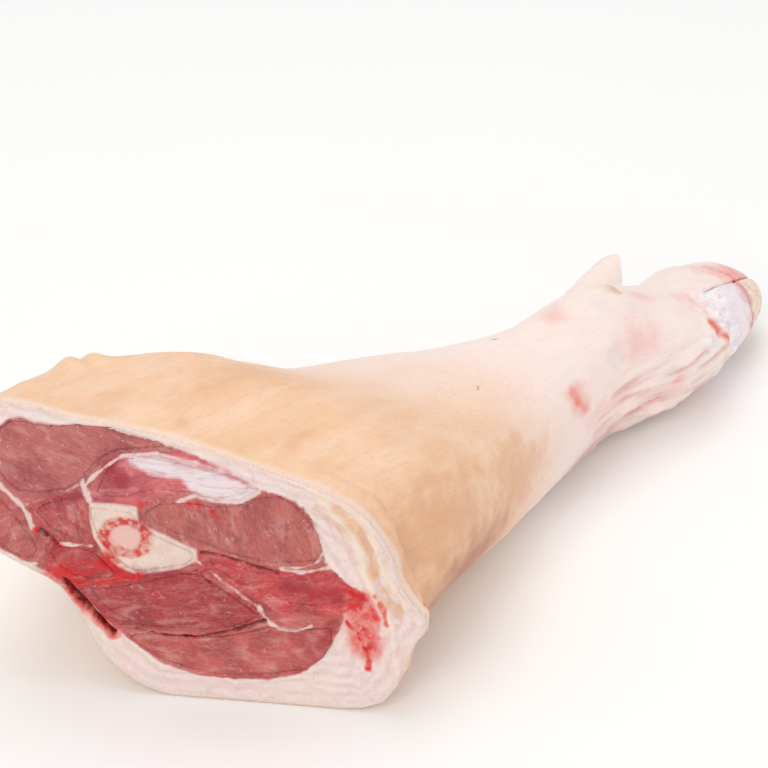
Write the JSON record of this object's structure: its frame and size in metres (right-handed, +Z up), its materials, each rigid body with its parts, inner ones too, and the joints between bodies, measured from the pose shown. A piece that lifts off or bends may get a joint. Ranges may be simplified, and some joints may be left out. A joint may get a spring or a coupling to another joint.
{
  "type": "frozen pork leg",
  "caption": "Raw pork foreleg with its foot, lying on its side, cut across the upper arm so that bone, meat, fat and skin show.",
  "frame": {"origin": "bottom centre of the bounding box", "axes": "+X along the leg from the cut face to the toes, +Z up as it lies on its side, -Y the side that faces the viewer"},
  "size_m": [0.4572, 0.1882, 0.1312],
  "materials": {
    "skin_and_fat": "moist skin with white fat where it is cut",
    "muscle_top_left": "moist cut meat",
    "muscle_left_lobe": "moist cut meat",
    "muscle_mid_left": "moist cut meat",
    "muscle_top_centre": "moist cut meat with a silvery tendon",
    "muscle_right": "moist cut meat",
    "muscle_low_left": "moist cut meat, dark red",
    "muscle_low_centre": "moist cut meat",
    "muscle_right_band": "moist cut meat",
    "muscle_bottom": "moist cut meat",
    "humerus": "sawn bone, ivory",
    "marrow": "red marrow",
    "near_toe": "bare toe with a rim of horn",
    "far_toe": "bare toe, pink to red"
  },
  "bodies": {
    "root": {"skin_and_fat": "skin_and_fat", "muscle_top_left": "muscle_top_left", "muscle_left_lobe": "muscle_left_lobe", "muscle_mid_left": "muscle_mid_left", "muscle_top_centre": "muscle_top_centre", "muscle_right": "muscle_right", "muscle_low_left": "muscle_low_left", "muscle_low_centre": "muscle_low_centre", "muscle_right_band": "muscle_right_band", "muscle_bottom": "muscle_bottom", "humerus": "humerus", "marrow": "marrow", "near_toe": "near_toe", "far_toe": "far_toe"}
  },
  "joints": []
}
